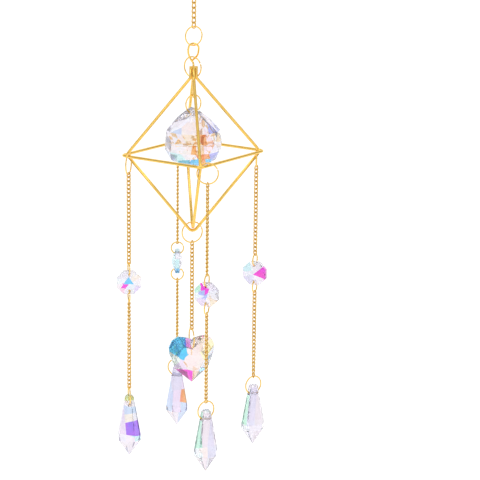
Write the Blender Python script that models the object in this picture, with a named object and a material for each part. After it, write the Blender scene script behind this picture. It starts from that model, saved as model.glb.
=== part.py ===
"""Crystal suncatcher: a gold wire cage round a faceted ball, with crystal strands below it.

The origin is at the inside of the hook's crown, where the hook sits on its support, and
everything hangs down from there. Metres, +Z up, the cage's corners on the X and Y axes.
"""
import math

import bmesh
import bpy
from mathutils import Matrix, Vector

# Air between two pieces that touch, and round a ring in its bore
TOUCH_GAP = 0.0003
BORE_CLEARANCE = 0.00025

# Wire diameters
FRAME_WIRE = 0.0018
EYE_WIRE = 0.00115
RING_WIRE = 0.0008
HOOK_WIRE = 0.0010

# Hook: a wide open bend above, a small closed loop below, and a straight tip past the bend
HOOK_BEND_INSIDE = 0.0098
HOOK_LOOP_INSIDE = 0.0032
HOOK_REACH = 0.0186
HOOK_TIP = 0.0027
HOOK_LOOP_END = math.radians(-272)

# Jump rings, outside diameters
HOOK_RING = 0.0108
UPPER_RING = 0.0120
APEX_RING = 0.0130
BALL_RING = 0.0115
BEAD_RING = 0.0084
DROP_RING = 0.0120
BOTTOM_RING = 0.0135
HEART_RING = 0.0130

# Chains: link pitch, outside width and wire, and the bite of one link into the next
TOP_PITCH = 0.0029
TOP_WIDTH = 0.0027
TOP_LINK_WIRE = 0.0006
SMALL_PITCH = 0.00241
SMALL_WIDTH = 0.0024
SMALL_LINK_WIRE = 0.0005
LINK_BITE = 0.0001
TOP_LINKS = 32
UPPER_LINKS = 23
CENTRE_LINKS = 23

# Eye wire: an oval loop over the cage, leaning back, and a small round foot inside it
EYE_LOOP_WIDTH = 0.0070
EYE_LEAN_BACK = 0.0050
EYE_FOOT_OUTSIDE = 0.0045
EYE_FOOT_FLOOR = 0.0343
APEX_RING_BACK = 0.0046

# Cage: a square belt, four wires bent up to the apex and four down to the foot
BELT_SIDE = 0.0600
BELT_BEND = 0.0030
BELT_RISE_RIGHT = 0.00083
BELT_RISE_FRONT = 0.00054
CORNER_KNEE = 0.0012
APEX_HEIGHT = 0.0450
EYE_OVER_APEX = 0.0110
EYE_LOOP_HEIGHT = 0.0090
EYE_LOOP_FLOOR = APEX_HEIGHT + EYE_OVER_APEX
EYE_RISE = EYE_LOOP_FLOOR + EYE_LOOP_HEIGHT
STUB_LENGTH = 0.0070
CAGE_DEPTH = 0.0473
SIDE_FOOT_BEND = 0.0030
CROSS_FOOT_BEND = 0.0050

# Ball: turned rows of radius and height over its hole, the top pinched thin across the hole
BALL_ROWS = ((0.0017, 0.0030), (0.0040, 0.0014), (0.0106, -0.0044), (0.0159, -0.0108),
             (0.0172, -0.0169), (0.0167, -0.0224), (0.0137, -0.0280), (0.0088, -0.0317))
BALL_FOOT = 0.0336
BALL_SIDES = 12
BALL_NECK = 0.0062
BALL_PINCH_SLOPE = math.radians(50)

# Octagonal beads: size over flats, thickness, edge, a row of points half-way in, hole from centre
BEAD_ACROSS = 0.0144
BEAD_THICKNESS = 0.0075
BEAD_EDGE = 0.0026
BEAD_WAIST_RADIUS = 0.0042
BEAD_WAIST_THICKNESS = 0.0050
BEAD_HOLE_RADIUS = 0.00495

# Drops: eight long facets, a girdle band and a point
DROP_LENGTH = 0.0387
DROP_FLAT_TOP = 0.0040
DROP_TOP_ACROSS = 0.0053
DROP_TOP_BEVEL = 0.0009
DROP_ACROSS = 0.0133
DROP_GIRDLE_TOP = 0.0248
DROP_GIRDLE = 0.0031
DROP_HOLE_DEPTH = 0.0051
DROP_SIDES = 8

# Heart: outline sizes, the depth of its notch and hole, and the heights of its facet corners
HEART_WIDTH = 0.0288
HEART_HEIGHT = 0.0294
HEART_THICKNESS = 0.0106
HEART_EDGE = 0.0015
HEART_NOTCH = 0.0023
HEART_HOLE_DEPTH = 0.0069
HEART_CHEEK = 0.0204
HEART_TABLE_TOP = 0.0112
HEART_TABLE_FOOT = 0.0212
HEART_TABLE_WIDTH = 0.0130

# The viewer's left-to-right line, turned from the X axis; the turns below are from that line
VIEW_TURN = math.radians(-7.6)
HOOK_RING_TURN = VIEW_TURN + math.radians(68)
UPPER_RING_TURN = VIEW_TURN + math.radians(32)
APEX_RING_TURN = VIEW_TURN + math.radians(-35)
BALL_RING_TURN = VIEW_TURN + math.radians(36)
BOTTOM_RING_TURN = VIEW_TURN + math.radians(20)
HEART_RING_TURN = VIEW_TURN + math.radians(-74)

# How far along the bottom ring its bars pass the side wires, as a share of its diameter
BOTTOM_RING_PASS = 0.31

# Strands: side, bearing of its belt corner, distance from the corner along the next belt rod,
# its corner ring's outside diameter, turns of its corner ring, bead rings and drop ring, and
# the links of its lower chain
STRANDS = (
    ("front", -90, 0.0062, 0.0131, 0, 70, 34, 23),
    ("right", 0, 0.0055, 0.0129, 88, 69, 34, 23),
    ("back", 90, 0.0077, 0.0120, -37.4, 2, 0, 22),
    ("left", 180, 0.0054, 0.0131, 78, -78, -80, 23),
)

# Facets of the wires, rings and bores
RING_SIDES = 4
RING_STEPS = 8
BORE_SIDES = 8
ROD_BEVEL_STEPS = 1

GOLD = (0.80, 0.52, 0.16, 1.0)
STEEL = (0.58, 0.58, 0.60, 1.0)
CLEAR = (0.93, 0.92, 0.98, 1.0)
BALL_TINT = (0.95, 0.88, 0.90, 1.0)
HEART_TINT = (0.97, 0.86, 0.90, 1.0)

# Worked out from the sizes above
BELT_RADIUS = BELT_SIDE / math.sqrt(2)
CORNER_RADIUS = BELT_RADIUS - BELT_BEND * (math.sqrt(2) - 1) - FRAME_WIRE - TOUCH_GAP
STUB_RADIUS = (EYE_WIRE + FRAME_WIRE) / 2 + TOUCH_GAP
CROSS_FOOT = -CAGE_DEPTH + FRAME_WIRE + TOUCH_GAP
TOP_SIZE = (TOP_PITCH, TOP_WIDTH, TOP_LINK_WIRE)
SMALL_SIZE = (SMALL_PITCH, SMALL_WIDTH, SMALL_LINK_WIRE)


def clear_scene():
    for thing in list(bpy.data.objects):
        bpy.data.objects.remove(thing, do_unlink=True)


def metal(name, colour, roughness):
    """A metal of one colour."""
    material = bpy.data.materials.new(name)
    material.use_nodes = True
    shader = material.node_tree.nodes["Principled BSDF"]
    shader.inputs["Base Color"].default_value = colour
    shader.inputs["Metallic"].default_value = 1.0
    shader.inputs["Roughness"].default_value = roughness
    return material


def crystal(name, colour):
    """Clear glass with a faint tint of its coating."""
    material = metal(name, colour, 0.03)
    shader = material.node_tree.nodes["Principled BSDF"]
    shader.inputs["Metallic"].default_value = 0.0
    shader.inputs["Transmission Weight"].default_value = 1.0
    shader.inputs["IOR"].default_value = 1.55
    return material


def add_object(name, shape, material, matrix=Matrix(), smooth=False):
    """Turns a bmesh into a named object, its shape moved by matrix first."""
    shape.transform(matrix)
    shape.normal_update()
    bmesh.ops.recalc_face_normals(shape, faces=shape.faces)
    mesh = bpy.data.meshes.new(name)
    shape.to_mesh(mesh)
    shape.free()
    if smooth:
        mesh.shade_smooth()
    piece = bpy.data.objects.new(name, mesh)
    piece.data.materials.append(material)
    bpy.context.collection.objects.link(piece)
    return piece


def combine(piece, operation, other):
    """Joins another object to a piece or cuts it away, and leaves the other as a guide."""
    other.hide_render = True
    other.display_type = "WIRE"
    step = piece.modifiers.new(operation.lower(), "BOOLEAN")
    step.operation = operation
    step.solver = "EXACT"
    step.object = other


def placed(x, y, z, turn=0.0):
    return Matrix.Translation((x, y, z)) @ Matrix.Rotation(turn, 4, "Z")


def arc(centre, radius, start, end, steps):
    """Points of an arc in a plane, as pairs of across and up."""
    angles = [start + (end - start) * i / steps for i in range(steps + 1)]
    return [(centre[0] + radius * math.cos(a), centre[1] + radius * math.sin(a)) for a in angles]


def bent_wire(name, points, diameter, material):
    """An open round wire through points, with flat ends."""
    curve = bpy.data.curves.new(name, "CURVE")
    curve.dimensions = "3D"
    curve.bevel_depth = diameter / 2
    curve.bevel_resolution = ROD_BEVEL_STEPS
    curve.use_fill_caps = True
    curve.render_resolution_u = 0
    spline = curve.splines.new("POLY")
    spline.points.add(len(points) - 1)
    for place, point in zip(spline.points, points):
        place.co = (*point, 1.0)
    piece = bpy.data.objects.new(name, curve)
    piece.data.materials.append(material)
    bpy.context.collection.objects.link(piece)
    return piece


def skin(shape, rows):
    """Adds a closed tube over rows of points, each row one section."""
    rings = [[shape.verts.new(point) for point in row] for row in rows]
    for here, after in zip(rings, rings[1:] + rings[:1]):
        for j in range(len(here)):
            k = (j + 1) % len(here)
            shape.faces.new((here[j], here[k], after[k], after[j]))


def jump_ring(name, x, y, top, diameter, turn, material):
    """A jump ring hanging from the centre of its top bar; returns the centre of its lowest bar."""
    radius = (diameter - RING_WIRE) / 2
    half_step = math.pi / RING_STEPS
    section = arc((radius, 0), RING_WIRE / 2, 0, 2 * math.pi, RING_SIDES)[:-1]
    rows = []
    for i in range(RING_STEPS):
        angle = (2 * i + 1) * half_step
        out = Vector((math.sin(angle), 0, math.cos(angle))) / math.cos(half_step)
        rows.append([out * reach + Vector((0, side, 0)) for reach, side in section])
    shape = bmesh.new()
    skin(shape, rows)
    add_object(name, shape, material, placed(x, y, top - radius, turn), smooth=True)
    return top - 2 * radius


def sagitta(diameter, wall):
    """How far a ring's inside curves over half the wall that it passes through."""
    inside = diameter / 2 - RING_WIRE
    return inside - math.sqrt(inside ** 2 - (wall / 2) ** 2)


def bore(piece, x, y, z, diameter, wall, turn):
    """Drills a straight hole along turn, wide enough for a ring's curve through the wall."""
    radius = (RING_WIRE + sagitta(diameter, wall)) / 2 + BORE_CLEARANCE
    shape = bmesh.new()
    bmesh.ops.create_cone(shape, cap_ends=True, segments=BORE_SIDES,
                          radius1=radius, radius2=radius, depth=wall * 3)
    lay_down = Matrix.Rotation(math.pi / 2, 4, "Y")
    drill = add_object(piece.name + "_drill", shape, piece.data.materials[0],
                       placed(x, y, z, turn) @ lay_down)
    combine(piece, "DIFFERENCE", drill)


def link_rows(z, turn, pitch, width, wire):
    """Sections at the four corners of one oblong link, its wire's ridge facing in."""
    half_width = (width - wire) / 2
    half_height = (pitch - LINK_BITE + wire) / 2
    section = ((-wire / 2, 0.0), (wire / 2, wire / 2), (wire / 2, -wire / 2))
    spin = placed(0, 0, z, turn)
    rows = []
    for side, end in ((1, 1), (-1, 1), (-1, -1), (1, -1)):
        rows.append([spin @ Vector((side * (half_width + out), across, end * (half_height + out)))
                     for out, across in section])
    return rows


def chain(name, x, y, top, links, first_turn, last_turn, size, material):
    """A chain hanging with the inside of its first link at top; returns the inside of its last link.

    Each link stands square to the ring or link before it, and the small rest of the turn between
    the rings at its two ends is shared out along the chain.
    """
    pitch, width, wire = size
    square = math.pi / 2
    rest = (last_turn - first_turn - (links - 1) * square + square) % math.pi - square
    step = square + rest / (links - 1)
    halves = (bmesh.new(), bmesh.new())
    for i in range(links):
        z = (LINK_BITE - pitch) / 2 - i * pitch
        skin(halves[i % 2], link_rows(z, first_turn + square + i * step, pitch, width, wire))
    piece = add_object(name, halves[0], material, placed(x, y, top), smooth=True)
    others = add_object(name + "_others", halves[1], material, placed(x, y, top), smooth=True)
    combine(piece, "UNION", others)
    return top - links * pitch + LINK_BITE


def above(surface, wire):
    """Centre of a wire that rests on a surface."""
    return surface + TOUCH_GAP + wire / 2


def inside_of(bar):
    """Where a link's inside comes when it hangs round a ring's lowest bar."""
    return above(bar + RING_WIRE / 2, 0)


def hook(material):
    """The hook, from its tip over the crown to its closed loop; returns the loop's floor."""
    bend = (HOOK_BEND_INSIDE + HOOK_WIRE) / 2
    loop = (HOOK_LOOP_INSIDE + HOOK_WIRE) / 2
    bend_centre = (0, -HOOK_BEND_INSIDE / 2)
    loop_centre = (0, -HOOK_REACH + HOOK_LOOP_INSIDE / 2)
    lean = math.asin((bend + loop) / (bend_centre[1] - loop_centre[1]))
    path = [(bend, bend_centre[1] - HOOK_TIP)]
    path += arc(bend_centre, bend, 0, math.pi + lean, 10)
    path += arc(loop_centre, loop, lean, HOOK_LOOP_END, 10)
    bent_wire("s_hook", [(across, 0, up) for across, up in path], HOOK_WIRE, material)
    return -HOOK_REACH


def eye_wire(belt, material):
    """The eye over the cage, its stem between the stubs and its small foot inside the cage."""
    half = (EYE_LOOP_WIDTH - EYE_WIRE) / 2
    crown = belt + EYE_RISE + EYE_WIRE / 2
    floor = belt + EYE_LOOP_FLOOR
    rise = crown - floor
    back = EYE_LEAN_BACK
    stub_top = belt + APEX_HEIGHT + STUB_LENGTH
    points = [
        Vector((-0.07 * half, 0.64 * back, floor - 0.08 * rise)),
        Vector((0.40 * half, back, floor)),
        Vector((0.88 * half, 0.78 * back, floor + 0.19 * rise)),
        Vector((half, 0.26 * back, floor + 0.46 * rise)),
        Vector((0.88 * half, -0.24 * back, floor + 0.84 * rise)),
        Vector((0, 0, crown)),
        Vector((-0.84 * half, 0.36 * back, floor + 0.82 * rise)),
        Vector((-half, 0.44 * back, floor + 0.38 * rise)),
        Vector((-0.54 * half, 0.44 * back, floor)),
        Vector((-0.10 * half, 0.20 * back, stub_top + 0.22 * rise)),
        Vector((0, 0, stub_top)),
    ]
    foot = (EYE_FOOT_OUTSIDE - EYE_WIRE) / 2
    foot_middle = belt + EYE_FOOT_FLOOR - EYE_WIRE / 2 + foot
    around = arc((0, foot_middle), foot, math.radians(90), math.radians(-210), 8)
    points += [Vector((0, across, up)) for across, up in around]
    bent_wire("eye_wire", points, EYE_WIRE, material)


def belt_height(x, y):
    """The belt's height over its middle: it hangs a little out of level."""
    return (x * BELT_RISE_RIGHT - y * BELT_RISE_FRONT) / BELT_RADIUS


def belt_rod(name, bearing, belt, material):
    """One side of the belt, from the middle of one bent corner to the middle of the next."""
    half_gap = TOUCH_GAP / 2 / BELT_BEND
    inner = BELT_SIDE / 2 - BELT_BEND
    path = arc((inner, inner), BELT_BEND, math.pi / 4 + half_gap, math.pi / 2, 2)
    path += arc((-inner, inner), BELT_BEND, math.pi / 2, math.pi * 3 / 4 - half_gap, 2)
    spin = Matrix.Rotation(bearing - math.pi / 4, 3, "Z")
    points = [spin @ Vector((across, out, belt)) for across, out in path]
    for point in points:
        point.z += belt_height(point.x, point.y)
    bent_wire(name, points, FRAME_WIRE, material)


def upper_wire(side, bearing, belt, material):
    """A cage wire from its stub at the apex down to the inside of its belt corner."""
    spin = Matrix.Rotation(bearing, 3, "Z")
    level = belt_height(*(spin @ Vector((CORNER_RADIUS, 0, 0))).xy)
    path = [(STUB_RADIUS, APEX_HEIGHT + STUB_LENGTH), (STUB_RADIUS, APEX_HEIGHT),
            (CORNER_RADIUS, level + CORNER_KNEE), (CORNER_RADIUS, level + TOUCH_GAP / 2)]
    points = [spin @ Vector((across, 0, belt + up)) for across, up in path]
    bent_wire("upper_wire_" + side, points, FRAME_WIRE, material)


def lower_wire(side, bearing, belt, foot, bend, material):
    """A cage wire from its belt corner down to the middle of a bend whose lowest centre is foot."""
    spin = Matrix.Rotation(bearing, 3, "Z")
    level = belt_height(*(spin @ Vector((CORNER_RADIUS, 0, 0))).xy)
    middle = foot + bend
    drop = level - CORNER_KNEE - middle
    slope = math.atan2(drop, CORNER_RADIUS) + math.asin(bend / math.hypot(drop, CORNER_RADIUS))
    path = [(CORNER_RADIUS, level - TOUCH_GAP / 2), (CORNER_RADIUS, level - CORNER_KNEE)]
    path += arc((0, middle), bend, slope - math.pi / 2, TOUCH_GAP / 2 / bend - math.pi / 2, 3)
    points = [spin @ Vector((across, 0, belt + up)) for across, up in path]
    bent_wire("lower_wire_" + side, points, FRAME_WIRE, material)


def close_over(shape):
    """Closes a shape over its points and drops any point left inside."""
    bmesh.ops.convex_hull(shape, input=shape.verts)
    inside = [point for point in shape.verts if not point.link_faces]
    bmesh.ops.delete(shape, geom=inside, context="VERTS")
    return shape


def turned_shape(rows, sides, point, stagger):
    """A faceted solid of revolution with a point at its foot, each row turned by stagger steps."""
    shape = bmesh.new()
    for i, (radius, z) in enumerate(rows):
        for j in range(sides):
            angle = (j + 0.5 + i * stagger) * 2 * math.pi / sides
            shape.verts.new((radius * math.cos(angle), radius * math.sin(angle), z))
    shape.verts.new((0, 0, point))
    return close_over(shape)


def cut_off(shape, normal, point):
    """Cuts away what lies beyond a plane and closes the cut."""
    everything = shape.verts[:] + shape.edges[:] + shape.faces[:]
    cut = bmesh.ops.bisect_plane(shape, geom=everything, plane_co=point, plane_no=normal, clear_outer=True)
    edges = [part for part in cut["geom_cut"] if isinstance(part, bmesh.types.BMEdge)]
    bmesh.ops.edgeloop_fill(shape, edges=edges)


def ball_shape():
    """The ball about its hole, which lies along X, pinched by a sloping cut on each side of it."""
    shape = turned_shape(BALL_ROWS, BALL_SIDES, -BALL_FOOT, 0.5)
    for side in (-1, 1):
        normal = Vector((side * math.cos(BALL_PINCH_SLOPE), 0, math.sin(BALL_PINCH_SLOPE)))
        cut_off(shape, normal, Vector((side * BALL_NECK / 2, 0, 0)))
    return shape


def bead_shape():
    """An octagon bead with a low star of facets on each face, its holes along Y."""
    shape = bmesh.new()
    corner = BEAD_ACROSS / 2 / math.cos(math.pi / 8)
    for face in (-1, 1):
        shape.verts.new((0, face * BEAD_THICKNESS / 2, 0))
        for i in range(8):
            angle = i * math.pi / 4
            waist = Vector((math.cos(angle), 0, math.sin(angle))) * BEAD_WAIST_RADIUS
            shape.verts.new((waist.x, face * BEAD_WAIST_THICKNESS / 2, waist.z))
            angle += math.pi / 8
            shape.verts.new((corner * math.cos(angle), face * BEAD_EDGE / 2, corner * math.sin(angle)))
    return close_over(shape)


def bead_wall():
    """The bead's thickness at its holes."""
    rise = (BEAD_WAIST_THICKNESS - BEAD_EDGE) / (BEAD_ACROSS / 2 - BEAD_WAIST_RADIUS)
    return BEAD_EDGE + rise * (BEAD_ACROSS / 2 - BEAD_HOLE_RADIUS)


def drop_shape():
    """A long drop of flat facets hung by its top, wider to its girdle and then pointed."""
    corner = 0.5 / math.cos(math.pi / DROP_SIDES)
    rows = ((DROP_FLAT_TOP * corner, 0), (DROP_TOP_ACROSS * corner, -DROP_TOP_BEVEL),
            (DROP_ACROSS * corner, -DROP_GIRDLE_TOP),
            (DROP_ACROSS * corner, -DROP_GIRDLE_TOP - DROP_GIRDLE))
    return turned_shape(rows, DROP_SIDES, -DROP_LENGTH, 0)


def drop_wall():
    """The drop's thickness at its hole."""
    share = (DROP_HOLE_DEPTH - DROP_TOP_BEVEL) / (DROP_GIRDLE_TOP - DROP_TOP_BEVEL)
    return DROP_TOP_ACROSS + (DROP_ACROSS - DROP_TOP_ACROSS) * share


def heart_half_outline():
    """The heart's outline on the right, from beside the notch round the lobe to beside the tip."""
    half = HEART_WIDTH / 2
    lobe = half / 2
    middle = -lobe * 1.1
    turns = [math.radians(turn) for turn in (115, 80, 45, 10, -22)]
    lobe_arc = [(lobe * (1 + math.cos(a)), middle - middle * math.sin(a)) for a in turns]
    return lobe_arc + [(half * 0.72, -HEART_CHEEK)]


def heart_shape():
    """A heart hung by its top, thick at a flat table, with wide facets down to a thin edge."""
    outline = heart_half_outline()
    half_table = HEART_TABLE_WIDTH / 2
    waist = (HEART_TABLE_TOP + HEART_TABLE_FOOT) / 2 - HEART_EDGE
    table = [(half_table * 0.62, -HEART_TABLE_TOP * 0.86), (half_table, -waist),
             (half_table * 0.55, -HEART_TABLE_FOOT * 0.93)]
    shape = bmesh.new()

    def point(across, up, thickness, face):
        return shape.verts.new((across, face * thickness / 2, up))

    edges = []
    for face in (-1, 1):
        notch = point(0, -HEART_NOTCH, HEART_EDGE, face)
        tip = point(0, -HEART_HEIGHT, HEART_EDGE, face)
        crown = point(0, -HEART_TABLE_TOP, HEART_THICKNESS, face)
        foot = point(0, -HEART_TABLE_FOOT, HEART_THICKNESS, face)
        sides = []
        for side in (1, -1):
            rim = [point(side * across, up, HEART_EDGE, face) for across, up in outline]
            inner = [point(side * across, up, HEART_THICKNESS, face) for across, up in table]
            shape.faces.new((notch, rim[0], inner[0], crown))
            for i in range(3):
                shape.faces.new((rim[i], rim[i + 1], inner[0]))
            shape.faces.new((rim[3], inner[1], inner[0]))
            shape.faces.new((rim[3], rim[4], inner[1]))
            shape.faces.new((rim[4], rim[5], inner[1]))
            shape.faces.new((rim[5], inner[2], inner[1]))
            shape.faces.new((rim[5], tip, foot, inner[2]))
            sides.append((rim, inner))
        right, left = sides
        shape.faces.new([crown] + right[1] + [foot] + left[1][::-1])
        edges.append([notch] + right[0] + [tip] + left[0][::-1])
    front, back = edges
    for i in range(len(front)):
        j = (i + 1) % len(front)
        shape.faces.new((front[i], front[j], back[j], back[i]))
    bmesh.ops.triangulate(shape, faces=shape.faces)
    return shape


def heart_wall():
    """The heart's thickness at its hole."""
    share = (HEART_HOLE_DEPTH - HEART_NOTCH) / (HEART_TABLE_TOP - HEART_NOTCH)
    return HEART_EDGE + (HEART_THICKNESS - HEART_EDGE) * share


def strand(spec, belt, gold, glass):
    """The rings, chains, bead and drop that hang from the belt near one corner."""
    side, corner, along, corner_ring, corner_turn, bead_turn, drop_turn, lower_links = spec
    bearing = math.radians(corner)
    corner_turn, bead_turn, drop_turn = (VIEW_TURN + math.radians(turn)
                                         for turn in (corner_turn, bead_turn, drop_turn))
    start = Matrix.Rotation(bearing, 3, "Z") @ Vector((BELT_RADIUS, 0, 0))
    run = Matrix.Rotation(bearing + math.pi * 3 / 4, 3, "Z") @ Vector((along, 0, 0))
    x, y = (start + run).xy
    rod_top = belt + belt_height(x, y) + FRAME_WIRE / 2

    bar = jump_ring("corner_ring_" + side, x, y, above(rod_top, RING_WIRE), corner_ring, corner_turn, gold)
    floor = chain("upper_chain_" + side, x, y, inside_of(bar), UPPER_LINKS,
                  corner_turn, bead_turn, SMALL_SIZE, gold)
    bar = jump_ring("bead_top_ring_" + side, x, y, above(floor, RING_WIRE), BEAD_RING, bead_turn, gold)

    curve = sagitta(BEAD_RING, bead_wall())
    hole = bar + curve / 2
    middle = hole - BEAD_HOLE_RADIUS
    bead = add_object("bead_" + side, bead_shape(), glass, placed(x, y, middle, bead_turn - math.pi / 2))
    bore(bead, x, y, hole, BEAD_RING, bead_wall(), bead_turn)
    hole = middle - BEAD_HOLE_RADIUS
    bore(bead, x, y, hole, BEAD_RING, bead_wall(), bead_turn)

    top = hole + curve / 2
    bar = jump_ring("bead_bottom_ring_" + side, x, y, top, BEAD_RING, bead_turn, gold)
    floor = chain("lower_chain_" + side, x, y, inside_of(bar), lower_links,
                  bead_turn, drop_turn, SMALL_SIZE, gold)
    bar = jump_ring("drop_ring_" + side, x, y, above(floor, RING_WIRE), DROP_RING, drop_turn, gold)
    hole = bar + sagitta(DROP_RING, drop_wall()) / 2
    top = hole + DROP_HOLE_DEPTH
    drop = add_object("drop_" + side, drop_shape(), glass, placed(x, y, top, drop_turn))
    bore(drop, x, y, hole, DROP_RING, drop_wall(), drop_turn)


def cage(belt, gold):
    """The belt and the eight wires that meet above and below it."""
    for index, (side, corner, *_) in enumerate(STRANDS):
        bearing = math.radians(corner)
        next_side = STRANDS[(index + 1) % len(STRANDS)][0]
        belt_rod("belt_rod_" + side + "_" + next_side, bearing, belt, gold)
        upper_wire(side, bearing, belt, gold)
        if side in ("left", "right"):
            lower_wire(side, bearing, belt, -CAGE_DEPTH, SIDE_FOOT_BEND, gold)
        else:
            lower_wire(side, bearing, belt, CROSS_FOOT, CROSS_FOOT_BEND, gold)


def ball(belt, gold, glass):
    """The ball on its ring, hung in the foot of the eye wire."""
    top = above(belt + EYE_FOOT_FLOOR, RING_WIRE)
    bar = jump_ring("ball_ring", 0, 0, top, BALL_RING, BALL_RING_TURN, gold)
    hole = bar + sagitta(BALL_RING, BALL_NECK) / 2
    piece = add_object("ball", ball_shape(), glass, placed(0, 0, hole, BALL_RING_TURN))
    bore(piece, 0, 0, hole, BALL_RING, BALL_NECK, BALL_RING_TURN)


def heart(belt, gold, glass):
    """The heart on its chain, hung round the back cage wire just behind the side wires."""
    touch = (FRAME_WIRE + RING_WIRE) / 2 + TOUCH_GAP
    y = touch + BOTTOM_RING * BOTTOM_RING_PASS * math.sin(abs(BOTTOM_RING_TURN))
    lean = math.asin(y / CROSS_FOOT_BEND)
    wire = belt + CROSS_FOOT + CROSS_FOOT_BEND * (1 - math.cos(lean))
    top = wire + touch / math.cos(lean)
    bar = jump_ring("bottom_ring", 0, y, top, BOTTOM_RING, BOTTOM_RING_TURN, gold)
    floor = chain("centre_chain", 0, y, inside_of(bar), CENTRE_LINKS,
                  BOTTOM_RING_TURN, HEART_RING_TURN, SMALL_SIZE, gold)
    bar = jump_ring("heart_ring", 0, y, above(floor, RING_WIRE), HEART_RING, HEART_RING_TURN, gold)
    hole = bar + sagitta(HEART_RING, heart_wall()) / 2
    piece = add_object("heart", heart_shape(), glass,
                       placed(0, y, hole + HEART_HOLE_DEPTH, HEART_RING_TURN + math.pi / 2))
    bore(piece, 0, y, hole, HEART_RING, heart_wall(), HEART_RING_TURN)


def build():
    clear_scene()
    gold = metal("gold_wire", GOLD, 0.22)
    steel = metal("hook_steel", STEEL, 0.28)
    clear = crystal("crystal_clear", CLEAR)

    floor = hook(steel)
    bar = jump_ring("hook_ring", 0, 0, above(floor, RING_WIRE), HOOK_RING, HOOK_RING_TURN, gold)
    floor = chain("top_chain", 0, 0, inside_of(bar), TOP_LINKS, HOOK_RING_TURN, UPPER_RING_TURN,
                  TOP_SIZE, gold)
    bar = jump_ring("upper_ring", 0, 0, above(floor, RING_WIRE), UPPER_RING, UPPER_RING_TURN, gold)

    belt = inside_of(bar) - EYE_RISE
    eye_wire(belt, gold)
    apex_top = belt + EYE_LOOP_FLOOR + RING_WIRE
    jump_ring("apex_ring", 0, APEX_RING_BACK, apex_top, APEX_RING, APEX_RING_TURN, gold)
    cage(belt, gold)
    ball(belt, gold, crystal("crystal_ball", BALL_TINT))
    heart(belt, gold, crystal("crystal_heart", HEART_TINT))
    for spec in STRANDS:
        strand(spec, belt, gold, clear)


build()
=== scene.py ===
"""Looks of the crystal suncatcher: gold wire, fine chains and facets with a rainbow coating; on the near
side the coating's colours are painted reflections, placed as this camera sees them.
"""

import math

import bmesh
import bpy
from mathutils import Matrix, Vector


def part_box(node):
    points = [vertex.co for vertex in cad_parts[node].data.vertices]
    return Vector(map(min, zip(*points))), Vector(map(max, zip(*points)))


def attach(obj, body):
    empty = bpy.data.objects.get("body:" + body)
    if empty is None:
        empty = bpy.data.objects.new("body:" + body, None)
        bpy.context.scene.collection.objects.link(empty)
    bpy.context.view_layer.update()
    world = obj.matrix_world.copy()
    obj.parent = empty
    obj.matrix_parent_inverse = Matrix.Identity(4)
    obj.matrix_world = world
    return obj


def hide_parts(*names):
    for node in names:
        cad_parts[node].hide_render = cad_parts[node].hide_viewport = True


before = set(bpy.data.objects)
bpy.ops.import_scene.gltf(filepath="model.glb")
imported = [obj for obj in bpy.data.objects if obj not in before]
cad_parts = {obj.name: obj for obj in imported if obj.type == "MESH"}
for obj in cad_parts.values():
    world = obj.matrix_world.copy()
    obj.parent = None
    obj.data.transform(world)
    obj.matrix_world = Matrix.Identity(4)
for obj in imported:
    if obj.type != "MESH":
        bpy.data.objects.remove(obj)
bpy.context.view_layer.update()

# Wire diameters and the gaps between touching pieces, as the frame has them
FRAME_WIRE = 0.0018
EYE_WIRE = 0.00115
RING_WIRE = 0.0008
HOOK_WIRE = 0.0010
TOUCH_GAP = 0.0003

# Cage: the belt, the stub at the top, and the rounded meetings at the foot
BELT_SIDE = 0.0600
BELT_BEND = 0.0030
STUB_LENGTH = 0.0070
SIDE_FOOT_BEND = 0.0030
CROSS_FOOT_BEND = 0.0050
SOLDER_OUT = 0.0009
LOWER_WIRE_SINK = 0.0006

# A wire's way out of the stub and into its corner, as distances out and up
STUB_KNEE = ((0, 0.0012), (0.0003, 0), (0.0014, -0.0014))
CORNER_KNEE = ((-0.0012, 0.0024), (0, 0.0004), (0.0002, 0))

# Eye: heights over the belt, and its loop's points as shares of its half width, lean and rise
EYE_RISE = 0.0650
EYE_LOOP_FLOOR = 0.0560
EYE_STUB_TOP = 0.0520
EYE_STEM = 0.0080
EYE_LOOP_WIDTH = 0.0070
EYE_LEAN = 0.0050
EYE_FOOT_WIDTH = 0.0045
EYE_LOOP = ((-0.07, 0.64, -0.08), (0.40, 1, 0), (0.88, 0.78, 0.19), (1, 0.26, 0.46), (0.88, -0.24, 0.84),
            (0, 0, 1), (-0.84, 0.36, 0.82), (-1, 0.44, 0.38), (-0.54, 0.44, 0))
EYE_NECK = (-0.10, 0.20, 0.22)

# S-hook: the insides of its two bends and the straight end of the upper one
HOOK_BEND_INSIDE = 0.0098
HOOK_LOOP_INSIDE = 0.0032
HOOK_END = 0.0027

# Sides of the drawn wires
RING_SIDES = 12
FRAME_SIDES = 14
LINK_SIDES = 8

# Which way each side of the cage faces
WAYS = {"front": Vector((0, -1, 0)), "right": Vector((1, 0, 0)), "back": Vector((0, 1, 0)),
        "left": Vector((-1, 0, 0))}

# The viewer's left-to-right line, and each ring's turn from it in degrees
VIEW_TURN = math.radians(-7.6)
RING_TURNS = {
    "hook_ring": 68, "upper_ring": 32, "apex_ring": -35, "ball_ring": 36, "bottom_ring": 20,
    "heart_ring": -74,
    "corner_ring_front": 0, "bead_top_ring_front": 70, "bead_bottom_ring_front": 70, "drop_ring_front": 34,
    "corner_ring_right": 88, "bead_top_ring_right": 69, "bead_bottom_ring_right": 69, "drop_ring_right": 34,
    "corner_ring_back": -37.4, "bead_top_ring_back": 2, "bead_bottom_ring_back": 2, "drop_ring_back": 0,
    "corner_ring_left": 78, "bead_top_ring_left": -78, "bead_bottom_ring_left": -78, "drop_ring_left": -80,
}
# Half the slit where a ring is closed, and where on the ring it is
RING_SLIT = math.radians(2.5)
RING_SLIT_PLACE = math.radians(25)

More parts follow.
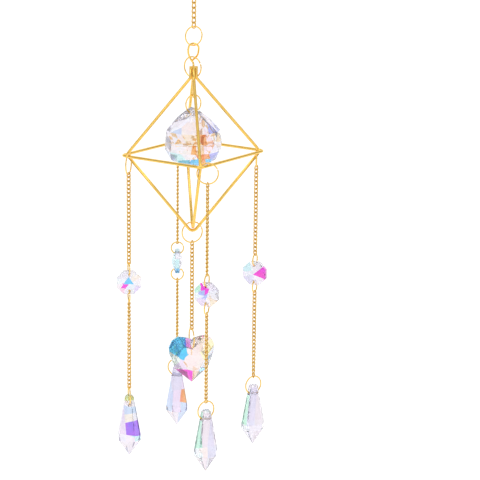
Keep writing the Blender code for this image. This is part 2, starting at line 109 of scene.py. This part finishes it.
# Each chain's links, its width and its wire, and which way its links face at its two ends
FINE = (0.0026, 0.00074)
CHAINS = {
    "top_chain": (32, 0.0029, 0.00080, 50, 20),
    "centre_chain": (23, *FINE, 25, 10),
    "upper_chain_left": (23, *FINE, 5, 15),
    "lower_chain_left": (23, *FINE, 65, 20),
    "upper_chain_front": (23, *FINE, 55, 75),
    "lower_chain_front": (23, *FINE, 60, 50),
    "upper_chain_right": (23, *FINE, 20, -20),
    "lower_chain_right": (23, *FINE, 10, -55),
    "upper_chain_back": (23, *FINE, 88, 80),
    "lower_chain_back": (22, *FINE, 80, 70),
}
LINK_TWIST = math.radians(42)
LINK_STEPS = 9
# A link's length in the frame over its wire, near enough for how far the end links reach past
LINK_PARTS = 5

# Camera, and the directions that the viewer calls right and up; its place is measured from the belt
CAMERA_RIGHT = Vector((0.99113, -0.13289, 0.0))
CAMERA_AHEAD = Vector((0.12852, 0.95855, -0.25425))
CAMERA_UP = CAMERA_RIGHT.cross(CAMERA_AHEAD)
CAMERA_ROLL = 0.0121
CAMERA_PLACE = Vector((-0.12019, -1.11031, 0.24056))
CAMERA_LENS = 144.33
LIT_PLACE = Vector((0, 0, -0.2))

# Tints of the coating, and of the painted reflections on its near side
WHITE = (0.96, 0.95, 0.97)
LILAC = (0.72, 0.60, 0.92)
LAVENDER = (0.70, 0.68, 0.90)
VIOLET = (0.26, 0.06, 0.88)
PERIWINKLE = (0.30, 0.34, 0.90)
SKY = (0.06, 0.46, 0.98)
AQUA = (0.50, 0.90, 0.92)
TEAL = (0.05, 0.38, 0.52)
MINT = (0.42, 0.93, 0.66)
LIME = (0.72, 0.92, 0.34)
CREAM = (0.98, 0.90, 0.72)
PEACH = (0.97, 0.62, 0.42)
ORANGE = (0.92, 0.28, 0.06)
PINK = (0.96, 0.52, 0.70)
ROSE = (0.94, 0.68, 0.76)
MAGENTA = (0.92, 0.01, 0.58)
AZURE = (0.02, 0.48, 0.98)
FERN = (0.34, 0.84, 0.48)
LEAF = (0.80, 0.97, 0.82)
BLUSH = (0.98, 0.84, 0.79)
HONEY = (0.98, 0.80, 0.55)
DUSK = (0.86, 0.77, 0.85)
ORCHID = (0.82, 0.68, 0.92)
HAZE = (0.52, 0.66, 0.95)
MIST = (0.84, 0.82, 0.88)
LEMON = (1.0, 0.97, 0.45)
PALE_ROSE = (0.97, 0.88, 0.93)
PALE_LILAC = (0.90, 0.87, 0.98)
PALE_AQUA = (0.86, 0.96, 0.98)

# Tints of the facets on the far side, dealt round by the way that a facet looks
AWAY = (WHITE, PALE_LILAC, WHITE, PALE_ROSE, WHITE, PALE_LILAC, PALE_AQUA, WHITE, PALE_ROSE)
AWAY_STEPS_ROUND = 23
AWAY_STEPS_UP = 7

# Painted reflections: where each of the coating's tints shows on a crystal's near side as this camera sees
# it, in millimetres right of and above its middle
COATING_AND_PAINTED_REFLECTION = {
    "ball": ((0, 15, WHITE), (-5, 11, PALE_LILAC), (5, 11, PALE_LILAC), (-10, 4.7, HAZE),
             (-12.5, 7, LAVENDER), (-15, 0, PALE_LILAC), (-7, 2, BLUSH), (-2, 5, BLUSH), (3, 5, BLUSH),
             (9, 7, PALE_LILAC), (12, 5.5, PERIWINKLE), (15, 0, WHITE), (-12, -4, PALE_LILAC),
             (-5, -2, BLUSH), (0, -3, HONEY), (6.7, -1.7, ORANGE), (10, -1, ROSE), (13, -6, PALE_LILAC),
             (-9, -8, PALE_ROSE), (-3, -8, BLUSH), (0.9, -8.5, ORANGE), (4, -8, PALE_ROSE), (9, -7, ROSE),
             (7, -12.5, ORANGE), (12, -12, PERIWINKLE), (10.5, -14.6, SKY), (-8.6, -12.7, AQUA),
             (-12, -12, HAZE), (-4, -15.5, TEAL), (2, -15.7, SKY), (-1, -13, PALE_ROSE)),
    "heart": ((-6, 8, AZURE), (-10, 5, AZURE), (-4.5, 3, AZURE), (-7, 10, AZURE), (-10.5, 0, LEAF),
              (-6.2, -3.8, ORCHID), (-3.8, -9, MAGENTA), (-6.5, -7, MAGENTA), (-1.5, -8.5, MAGENTA),
              (0, 0, BLUSH), (-2, -4.2, BLUSH), (3, 4, BLUSH), (5, 9, HONEY), (1.5, 8, BLUSH),
              (11, 9, LEMON), (8.5, 10, CREAM), (12, 2, PALE_LILAC), (10, -3, WHITE), (3, -9.5, PEACH),
              (6, -6, PALE_ROSE), (-1.5, 9.5, LAVENDER)),
    "bead_left": ((-3, 4.5, MIST), (-5.5, 1.5, PALE_AQUA), (-5, -3, PALE_ROSE), (0, 0.2, SKY),
                  (-2.7, -3.2, MAGENTA), (-4, -5.5, PINK), (3.5, 2.5, CREAM), (6, 0, PALE_ROSE),
                  (1, 5.5, MIST), (2.5, -4, MIST), (5, -4.5, LILAC), (0, -2.5, PALE_LILAC)),
    "bead_right": ((-5.2, 3, AQUA), (-2.5, 5.5, PALE_AQUA), (-5.5, -1, PALE_LILAC), (-3.5, -4, LAVENDER),
                   (2.2, 5, MIST), (3, 0, MAGENTA), (4.8, 2, MAGENTA), (5, -2, MAGENTA),
                   (2, -4.6, PALE_LILAC), (-1, 1, MIST)),
    "bead_front": ((-5.6, 3.3, MINT), (-1.9, 3.4, MAGENTA), (-2.4, -0.2, PERIWINKLE),
                   (-3.8, -4.8, ORCHID), (3.3, 0, MIST), (3, 4, PALE_LILAC), (1, 5.6, MIST),
                   (3.8, -5, HONEY), (0.2, -5.8, PALE_ROSE), (-6, -1, PALE_AQUA)),
    "bead_back": ((-3, 4, AQUA), (-2, 0, AQUA), (-2, -5, SKY), (3, 3, PALE_LILAC), (3, -4, MIST)),
    "drop_left": ((0, 17.6, LIME), (0, 14, PALE_ROSE), (-3, 6, ORCHID), (1.5, 9.5, HAZE),
                  (-0.5, 5, CREAM), (3.6, 5, PALE_LILAC), (0.5, -2, VIOLET), (4.3, -1.5, VIOLET),
                  (-3.5, -3, ORCHID), (6, -7, AQUA), (-5, -8, PALE_LILAC), (0, -9, PALE_ROSE),
                  (-3, -14, PALE_ROSE), (3, -14, DUSK)),
    "drop_right": ((0, 17, PALE_LILAC), (-2.6, 10, MINT), (-4.0, 0, FERN), (-0.6, 3, LAVENDER),
                   (-0.3, 11, LAVENDER), (3.2, 3, DUSK), (5, -8, PALE_LILAC), (0, -8, PALE_LILAC),
                   (-5, -8, PALE_AQUA), (-3, -14, PALE_LILAC), (3, -14, DUSK)),
    "drop_front": ((0, 17, PALE_AQUA), (-2.8, 10, MINT), (-4.2, 0, MINT), (0, 3, DUSK), (0, 11, DUSK),
                   (4.2, 0, LAVENDER), (-0.5, -7, BLUSH), (5, -8, LAVENDER), (-4, -9, PALE_AQUA),
                   (-3, -14, PALE_ROSE), (3, -14, DUSK)),
    "drop_back": ((0, 17, LAVENDER), (-4, 3, HAZE), (0, 2, ORCHID), (0, 10, LAVENDER), (2.6, 6, ORCHID),
                  (4.2, 0, ORANGE), (-5, -8, HAZE), (5, -8, HAZE), (0, -8, ORCHID), (-2, -14, DUSK),
                  (3, -14, HAZE)),
}

# A facet is on the near side while its normal points along the view by less than this
NEAR_SIDE = 0.05

# Lines that part a crystal's near side into patches of painted reflection: millimetres right and up, and
# the slope in degrees
CUTS = {
    "ball": ((5.4, -1.7, 100), (8.0, -1.7, 104), (-0.6, -8.5, 80), (2.3, -8.5, 96), (0, -13.6, 4)),
    "heart": ((-2.4, 5.7, 57), (-9.3, 2.1, -31), (-4.6, -6.8, -4), (0.8, -10, 88), (-8.3, -2.8, 40),
              (-4.2, -3.1, -60)),
    "bead_left": ((-1.6, 0.9, 55), (1.6, 0.9, -55), (0, -1.3, 0), (-3.7, -2.2, 52), (-1.7, -3.6, 52)),
    "bead_right": ((-1.5, -1.2, 38), (-1.5, -1.2, -24), (-4, 1.0, 8)),
    "bead_front": ((-2.4, 2.2, 18), (-2.4, -2.6, 18), (-5.0, 0, 80), (0.4, 0, 72), (-1.9, 4.6, -22)),
    "drop_left": ((0, 15.6, 4), (0, 12.2, -6), (0, 7.4, 8), (0.4, 2.6, 12), (0, -5.6, -8), (-1.9, -1, 96),
                  (2.6, -1, 83)),
    "drop_right": ((0, -6.5, 6), (1.6, 4, 86)),
    "drop_front": ((0, -3.5, 10), (1.9, 4, 84), (-1.6, -6, 95)),
    "drop_back": ((2.6, 2, 84), (-2.7, 2, 96), (3.4, 4.5, 10), (3.4, -3.6, -14)),
}


def centre(node):
    """The middle of a node's box in the frame."""
    low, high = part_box(node)
    return (low + high) / 2


def up_by(height):
    """A step straight up."""
    return Vector((0, 0, height))


def new_piece(name, shape, material, slot, *nodes, smooth=True):
    """Turns a bmesh into a piece that stands for some of the frame's nodes."""
    bmesh.ops.recalc_face_normals(shape, faces=shape.faces)
    mesh = bpy.data.meshes.new(name)
    shape.to_mesh(mesh)
    shape.free()
    if smooth:
        mesh.shade_smooth()
    piece = bpy.data.objects.new(name, mesh)
    mesh.materials.append(material)
    bpy.context.collection.objects.link(piece)
    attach(piece, "root")
    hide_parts(*nodes)
    return piece


def tube(shape, points, diameter, sides, closed=False):
    """Adds a round wire through points, with flat ends unless it is closed."""
    count = len(points)
    rows = []
    across = None
    for i, point in enumerate(points):
        after = points[(i + 1) % count] if closed or i + 1 < count else point
        before = points[i - 1] if closed or i else point
        ahead = (after - before).normalized()
        if across is None:
            across = ahead.orthogonal().normalized()
        across = (across - ahead * across.dot(ahead)).normalized()
        up = ahead.cross(across)
        rows.append([shape.verts.new(point + (across * math.cos(a) + up * math.sin(a)) * diameter / 2)
                     for a in (2 * math.pi * j / sides for j in range(sides))])
    pairs = list(zip(rows, rows[1:]))
    if closed:
        pairs.append((rows[-1], rows[0]))
    for here, there in pairs:
        shift = 0
        if closed and there is rows[0]:
            # The last ring of corners may have turned against the first, so the nearest ones are joined
            shift = min(range(sides), key=lambda s: (here[0].co - there[s].co).length)
        for j in range(sides):
            k = (j + 1) % sides
            shape.faces.new((here[j], here[k], there[(k + shift) % sides], there[(j + shift) % sides]))
    if not closed:
        shape.faces.new(rows[0][::-1])
        shape.faces.new(rows[-1])


def arc(middle, radius, start, end, steps):
    """Points of an arc as pairs of across and up."""
    angles = [start + (end - start) * i / steps for i in range(steps + 1)]
    return [(middle[0] + radius * math.cos(a), middle[1] + radius * math.sin(a)) for a in angles]


def curved(points, steps):
    """A smooth curve through points."""
    path = []
    for i in range(len(points) - 1):
        a = points[max(i - 1, 0)]
        b, c = points[i], points[i + 1]
        d = points[min(i + 2, len(points) - 1)]
        for j in range(steps):
            t = j / steps
            path.append(0.5 * (2 * b + (c - a) * t + (2 * a - 5 * b + 4 * c - d) * t ** 2
                               + (3 * b - a - 3 * c + d) * t ** 3))
    return path + [points[-1]]


def blob(shape, place, radius, stretch=1.0):
    """A small round lump of solder."""
    size = Matrix.Diagonal((radius, radius, radius * stretch, 1.0))
    bmesh.ops.create_icosphere(shape, subdivisions=3, radius=1.0, matrix=Matrix.Translation(place) @ size)


def gold_material(name, colour, deep, rough):
    """Plated wire: its tone and polish vary a little along it."""
    material = bpy.data.materials.new(name)
    material.use_nodes = True
    tree = material.node_tree
    shader = tree.nodes["Principled BSDF"]
    shader.inputs["Metallic"].default_value = 1.0
    place = tree.nodes.new("ShaderNodeTexCoord")
    patches = tree.nodes.new("ShaderNodeTexNoise")
    patches.inputs["Scale"].default_value = 260.0
    patches.inputs["Detail"].default_value = 4.0
    tone = tree.nodes.new("ShaderNodeMix")
    tone.data_type = "RGBA"
    tone.inputs["A"].default_value = (*deep, 1.0)
    tone.inputs["B"].default_value = (*colour, 1.0)
    polish = tree.nodes.new("ShaderNodeMapRange")
    polish.inputs["To Min"].default_value = rough * 0.7
    polish.inputs["To Max"].default_value = rough * 1.5
    scratches = tree.nodes.new("ShaderNodeTexNoise")
    scratches.inputs["Scale"].default_value = 1800.0
    bump = tree.nodes.new("ShaderNodeBump")
    bump.inputs["Strength"].default_value = 0.12
    bump.inputs["Distance"].default_value = 0.00005
    link = tree.links.new
    link(place.outputs["Object"], patches.inputs["Vector"])
    link(place.outputs["Object"], scratches.inputs["Vector"])
    link(patches.outputs["Fac"], tone.inputs["Factor"])
    link(patches.outputs["Fac"], polish.inputs["Value"])
    link(tone.outputs["Result"], shader.inputs["Base Color"])
    link(polish.outputs["Result"], shader.inputs["Roughness"])
    link(scratches.outputs["Fac"], bump.inputs["Height"])
    link(bump.outputs["Normal"], shader.inputs["Normal"])
    return material


def crystal_material(name):
    """Clear glass whose facets each get their own colour, drifting a little over it: the coating's tint,
    with painted reflections on the near side.
    """
    material = bpy.data.materials.new(name)
    material.use_nodes = True
    tree = material.node_tree
    shader = tree.nodes["Principled BSDF"]
    shader.inputs["Roughness"].default_value = 0.02
    shader.inputs["IOR"].default_value = 1.50
    shader.inputs["Transmission Weight"].default_value = 0.80
    shader.inputs["Coat Weight"].default_value = 0.5
    shader.inputs["Coat Roughness"].default_value = 0.02
    facet = tree.nodes.new("ShaderNodeAttribute")
    facet.attribute_name = "facet"
    place = tree.nodes.new("ShaderNodeTexCoord")
    drift = tree.nodes.new("ShaderNodeTexNoise")
    drift.inputs["Scale"].default_value = 190.0
    drift.inputs["Detail"].default_value = 1.0
    turn = tree.nodes.new("ShaderNodeMapRange")
    turn.inputs["To Min"].default_value = 0.46
    turn.inputs["To Max"].default_value = 0.54
    hue = tree.nodes.new("ShaderNodeHueSaturation")
    link = tree.links.new
    link(place.outputs["Object"], drift.inputs["Vector"])
    link(drift.outputs["Fac"], turn.inputs["Value"])
    link(turn.outputs["Result"], hue.inputs["Hue"])
    link(facet.outputs["Color"], hue.inputs["Color"])
    link(hue.outputs["Color"], shader.inputs["Base Color"])
    return material


GOLD = gold_material("gold_plate", (1.0, 0.70, 0.19), (0.88, 0.53, 0.10), 0.20)
LINKS = gold_material("gold_links", (0.95, 0.64, 0.18), (0.62, 0.37, 0.07), 0.24)
STEEL = gold_material("hook_wire", (0.66, 0.66, 0.68), (0.50, 0.50, 0.53), 0.24)
CRYSTAL = crystal_material("coated_crystal")


def build_rings():
    """Every jump ring, with the slit where it is closed."""
    path = arc((0, 0), 1, RING_SLIT_PLACE + RING_SLIT, RING_SLIT_PLACE + 2 * math.pi - RING_SLIT, 56)
    for node, turn in RING_TURNS.items():
        low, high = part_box(node)
        radius = (high.z - low.z - RING_WIRE) / 2
        spin = Matrix.Rotation(VIEW_TURN + math.radians(turn), 3, "Z")
        shape = bmesh.new()
        tube(shape, [centre(node) + spin @ Vector((x, 0, z)) * radius for x, z in path],
             RING_WIRE, RING_SIDES)
        new_piece("shown_" + node, shape, GOLD, "gold_wire", node)


def build_chains():
    """Curb chains: every link faces much the same way, its ends twisted to pass through the next."""
    for node, (links, width, wire, first, last) in CHAINS.items():
        low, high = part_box(node)
        middle = centre(node)
        wall = (high.z - low.z) / (links * LINK_PARTS)
        pitch = (high.z - low.z - 2 * wall) / links
        bend = (width - wire) / 2
        straight = (pitch + wire) / 2 - bend
        outline = arc((0, straight), bend, 0, math.pi, LINK_STEPS)
        outline += arc((0, -straight), bend, math.pi, 2 * math.pi, LINK_STEPS)
        shape = bmesh.new()
        for i in range(links):
            hang = Vector((middle.x, middle.y, high.z - wall - pitch * (i + 0.5)))
            facing = VIEW_TURN + math.radians(first + (last - first) * i / (links - 1))
            path = []
            for across, up in outline:
                spin = Matrix.Rotation(facing + LINK_TWIST * up / (straight + bend), 3, "Z")
                path.append(hang + spin @ Vector((across, 0, up)))
            tube(shape, path, wire, LINK_SIDES, closed=True)
        new_piece("shown_" + node, shape, LINKS, "gold_wire", node)


def belt_loop(shape, belt, rise_right, rise_front):
    """The square belt, bent round at its corners and a little out of level."""
    inner = BELT_SIDE / 2 - BELT_BEND
    path = []
    for quarter in range(4):
        spin = Matrix.Rotation(quarter * math.pi / 2 - math.pi / 4, 3, "Z")
        path += [spin @ Vector((x, y, 0)) for x, y in arc((inner, inner), BELT_BEND, 0, math.pi / 2, 8)]
    diagonal = BELT_SIDE * math.sqrt(2)
    for point in path:
        point.z = belt + (point.x * rise_right - point.y * rise_front) / diagonal
    tube(shape, path, FRAME_WIRE, FRAME_SIDES, closed=True)


def upper_wire(shape, out, reach, stub_top, corner):
    """A wire from the stub, bent out and down to a corner of the belt, with the solder there."""
    stub = (EYE_WIRE + FRAME_WIRE) / 2 + TOUCH_GAP / 2
    bend = stub_top - STUB_LENGTH
    path = [(stub, stub_top)]
    path += [(stub + across, bend + up) for across, up in STUB_KNEE]
    path += [(reach + across, corner + up) for across, up in CORNER_KNEE]
    tube(shape, [out * across + up_by(up) for across, up in path], FRAME_WIRE, FRAME_SIDES)
    blob(shape, out * (reach + SOLDER_OUT) + up_by(corner), FRAME_WIRE * 0.72, 1.1)


def lower_wires(shape, out, reach, belt, foot, bend):
    """Two opposite wires from the belt down to their rounded meeting, in one run."""
    drop = belt - foot - bend
    slope = math.atan2(drop, reach) + math.asin(bend / math.hypot(drop, reach))
    path = [(-reach, belt - LOWER_WIRE_SINK)]
    path += arc((0, foot + bend), bend, -math.pi / 2 - slope, -math.pi / 2 + slope, 12)
    path += [(reach, belt - LOWER_WIRE_SINK)]
    tube(shape, [out * across + up_by(up) for across, up in path], FRAME_WIRE, FRAME_SIDES)


def belt_middle():
    """Height of the belt's middle, from two opposite rods."""
    return (centre("belt_rod_front_right").z + centre("belt_rod_back_left").z) / 2


def build_cage():
    """The belt, the wires above and below it and the solder at their meetings, as one piece."""
    belt = belt_middle()
    stub_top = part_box("upper_wire_left")[1].z
    reach = {}
    corner = {}
    nodes = ["belt_rod_front_right", "belt_rod_right_back", "belt_rod_back_left", "belt_rod_left_front"]
    for side, out in WAYS.items():
        low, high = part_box("upper_wire_" + side)
        reach[side] = max(low.dot(out), high.dot(out)) - FRAME_WIRE / 2
        corner[side] = low.z
        nodes += ["upper_wire_" + side, "lower_wire_" + side]
    rise_right = corner["right"] - corner["left"]
    rise_front = corner["front"] - corner["back"]
    shape = bmesh.new()
    belt_loop(shape, belt, rise_right, rise_front)
    for side, out in WAYS.items():
        upper_wire(shape, out, reach[side], stub_top, belt + (out.x * rise_right - out.y * rise_front) / 2)
    for one, other, bend in (("left", "right", SIDE_FOOT_BEND), ("back", "front", CROSS_FOOT_BEND)):
        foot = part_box("lower_wire_" + one)[0].z + FRAME_WIRE / 2
        lower_wires(shape, WAYS[other], reach[one], belt, foot, bend)
    new_piece("cage", shape, GOLD, "gold_wire", *nodes)


def build_eye():
    """The eye over the cage, its stem and the small foot that holds the ball's ring."""
    low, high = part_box("eye_wire")
    belt = high.z - EYE_WIRE - EYE_RISE
    half = (EYE_LOOP_WIDTH - EYE_WIRE) / 2
    floor = belt + EYE_LOOP_FLOOR
    rise = high.z - EYE_WIRE / 2 - floor
    stub_top = belt + EYE_STUB_TOP
    points = [Vector((x * half, y * EYE_LEAN, floor + z * rise)) for x, y, z in EYE_LOOP]
    points.append(Vector((EYE_NECK[0] * half, EYE_NECK[1] * EYE_LEAN, stub_top + EYE_NECK[2] * rise)))
    points += [up_by(stub_top), up_by(stub_top - EYE_STEM)]
    foot = (EYE_FOOT_WIDTH - EYE_WIRE) / 2
    middle = low.z + EYE_WIRE / 2 + foot
    around = arc((0, middle), foot, math.radians(90), math.radians(-210), 22)
    path = curved(points, 6) + [Vector((0, across, up)) for across, up in around]
    shape = bmesh.new()
    tube(shape, path, EYE_WIRE, RING_SIDES)
    new_piece("shown_eye_wire", shape, GOLD, "gold_wire", "eye_wire")


def build_hook():
    """The S-hook: a wide upper bend, a straight run across and a nearly closed lower loop."""
    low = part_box("s_hook")[0]
    bend = (HOOK_BEND_INSIDE + HOOK_WIRE) / 2
    loop = (HOOK_LOOP_INSIDE + HOOK_WIRE) / 2
    top = -HOOK_BEND_INSIDE / 2
    bottom = low.z + HOOK_WIRE + HOOK_LOOP_INSIDE / 2
    lean = math.asin((bend + loop) / (top - bottom))
    path = [(bend, top - HOOK_END)]
    path += arc((0, top), bend, 0, math.pi + lean, 36)
    path += arc((0, bottom), loop, lean, math.radians(-272), 32)
    shape = bmesh.new()
    tube(shape, [Vector((x, 0, z)) for x, z in path], HOOK_WIRE, FRAME_SIDES)
    new_piece("shown_s_hook", shape, STEEL, "hook_steel", "s_hook")


def facet_tint(name, middle, facing, place):
    """The colour on a facet: painted reflections of the coating's tints on the near side, placed as this
    camera sees them; soft coating tints on the far side.
    """
    # Near-side facets take painted reflections, picked by where the facet sits in this camera's view
    if facing.dot(CAMERA_AHEAD) < NEAR_SIDE:
        offset = (place - middle) * 1000
        across, up = offset.dot(CAMERA_RIGHT), offset.dot(CAMERA_UP)
        return min(COATING_AND_PAINTED_REFLECTION[name], key=lambda spot: (across - spot[0]) ** 2 + (up - spot[1]) ** 2)[2]
    turn = math.atan2(facing.y, facing.x) / (2 * math.pi) + 0.5
    return AWAY[int(turn * AWAY_STEPS_ROUND + facing.z * AWAY_STEPS_UP) % len(AWAY)]


def cut_near_side(shape, place, slope):
    """Parts the facets of the near side along a line that the viewer sees."""
    along = CAMERA_RIGHT * math.cos(slope) + CAMERA_UP * math.sin(slope)
    near = [face for face in shape.faces if face.normal.dot(CAMERA_AHEAD) < NEAR_SIDE]
    rims = {edge for face in near for edge in face.edges}
    corners = {corner for face in near for corner in face.verts}
    bmesh.ops.bisect_plane(shape, geom=near + list(rims) + list(corners),
                           plane_co=place, plane_no=along.cross(CAMERA_AHEAD))


def build_crystal(node, slot):
    """A crystal cut as the frame has it, its facets parted into patches of tint and painted reflection."""
    middle = centre(node)
    shape = bmesh.new()
    shape.from_mesh(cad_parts[node].data)
    bmesh.ops.remove_doubles(shape, verts=shape.verts, dist=0.000005)
    bmesh.ops.dissolve_limit(shape, angle_limit=math.radians(0.6), verts=shape.verts, edges=shape.edges)
    for across, up, slope in CUTS.get(node, ()):
        place = middle + (CAMERA_RIGHT * across + CAMERA_UP * up) / 1000
        cut_near_side(shape, place, math.radians(slope))
    piece = new_piece("shown_" + node, shape, CRYSTAL, slot, node, smooth=False)
    # Each facet's colour, painted reflections included on the near side, is stored on the face
    tints = piece.data.attributes.new("facet", "FLOAT_COLOR", "FACE")
    for face in piece.data.polygons:
        tints.data[face.index].color = (*facet_tint(node, middle, face.normal, face.center), 1.0)
    edge = piece.modifiers.new("cut_edges", "BEVEL")
    edge.width = 0.00006
    edge.segments = 1
    edge.limit_method = "ANGLE"
    edge.angle_limit = math.radians(8)


def card(name, place, size, strength):
    """A soft white light that looks at the cage."""
    lamp = bpy.data.lights.new(name, "AREA")
    lamp.shape = "RECTANGLE"
    lamp.size, lamp.size_y = size
    lamp.energy = strength
    holder = bpy.data.objects.new(name, lamp)
    bpy.context.collection.objects.link(holder)
    holder.location = place
    holder.rotation_euler = (LIT_PLACE - Vector(place)).to_track_quat("-Z", "Y").to_euler()


def build_floor():
    """A plain pale floor that sweeps up into the backdrop."""
    floor, wall, bend = -0.62, 1.9, 0.5
    profile = [(-2.6, floor)]
    profile += arc((wall - bend, floor + bend), bend, -math.pi / 2, 0, 16)
    profile.append((wall, 2.6))
    shape = bmesh.new()
    rows = [[shape.verts.new((x, y, z)) for x in (-2.8, 2.8)] for y, z in profile]
    for here, there in zip(rows, rows[1:]):
        shape.faces.new((here[0], here[1], there[1], there[0]))
    mesh = bpy.data.meshes.new("studio_sweep")
    shape.to_mesh(mesh)
    shape.free()
    mesh.shade_smooth()
    sweep = bpy.data.objects.new("studio_sweep", mesh)
    bpy.context.collection.objects.link(sweep)
    paper = bpy.data.materials.new("pale_paper")
    paper.use_nodes = True
    shader = paper.node_tree.nodes["Principled BSDF"]
    shader.inputs["Base Color"].default_value = (0.22, 0.22, 0.22, 1.0)
    shader.inputs["Roughness"].default_value = 0.9
    shader.inputs["Emission Color"].default_value = (1.0, 1.0, 1.0, 1.0)
    shader.inputs["Emission Strength"].default_value = 0.93
    mesh.materials.append(paper)


def build_air():
    """Pale surroundings, darker at the left and right so that wires and facets show their edges."""
    world = bpy.data.worlds.new("studio_air")
    world.use_nodes = True
    tree = world.node_tree
    around = tree.nodes.new("ShaderNodeTexCoord")
    parts = tree.nodes.new("ShaderNodeSeparateXYZ")
    flank = tree.nodes.new("ShaderNodeMath")
    flank.operation = "ABSOLUTE"
    shade = tree.nodes.new("ShaderNodeValToRGB")
    pale, dark = shade.color_ramp.elements
    pale.position = 0.45
    pale.color = (0.94, 0.95, 1.0, 1.0)
    dark.position = 0.90
    dark.color = (0.56, 0.56, 0.60, 1.0)
    link = tree.links.new
    link(around.outputs["Generated"], parts.inputs["Vector"])
    link(parts.outputs["X"], flank.inputs[0])
    link(flank.outputs["Value"], shade.inputs["Fac"])
    link(shade.outputs["Color"], tree.nodes["Background"].inputs["Color"])
    tree.nodes["Background"].inputs["Strength"].default_value = 0.85
    bpy.context.scene.world = world


def build_camera():
    """The camera at the photo's angle."""
    lens = bpy.data.cameras.new("camera")
    lens.lens = CAMERA_LENS
    lens.sensor_width = 36.0
    lens.clip_end = 20.0
    camera = bpy.data.objects.new("camera", lens)
    bpy.context.collection.objects.link(camera)
    right = CAMERA_RIGHT * math.cos(CAMERA_ROLL) + CAMERA_UP * math.sin(CAMERA_ROLL)
    up = CAMERA_UP * math.cos(CAMERA_ROLL) - CAMERA_RIGHT * math.sin(CAMERA_ROLL)
    turn = Matrix((right, up, -CAMERA_AHEAD)).transposed().to_4x4()
    camera.matrix_world = Matrix.Translation(CAMERA_PLACE + up_by(belt_middle())) @ turn
    bpy.context.scene.camera = camera


build_rings()
build_chains()
build_cage()
build_eye()
build_hook()
build_crystal("ball", "crystal_ball")
build_crystal("heart", "crystal_heart")
for side in ("front", "right", "back", "left"):
    build_crystal("bead_" + side, "crystal_clear")
    build_crystal("drop_" + side, "crystal_clear")
build_floor()
build_air()
card("key", (-0.9, -1.0, 0.7), (0.7, 0.9), 3.4)
card("fill", (1.1, -0.7, 0.1), (0.5, 1.0), 1.6)
card("top", (0.1, 0.2, 1.0), (0.8, 0.8), 2.4)
build_camera()
bpy.context.scene.view_settings.view_transform = "Standard"
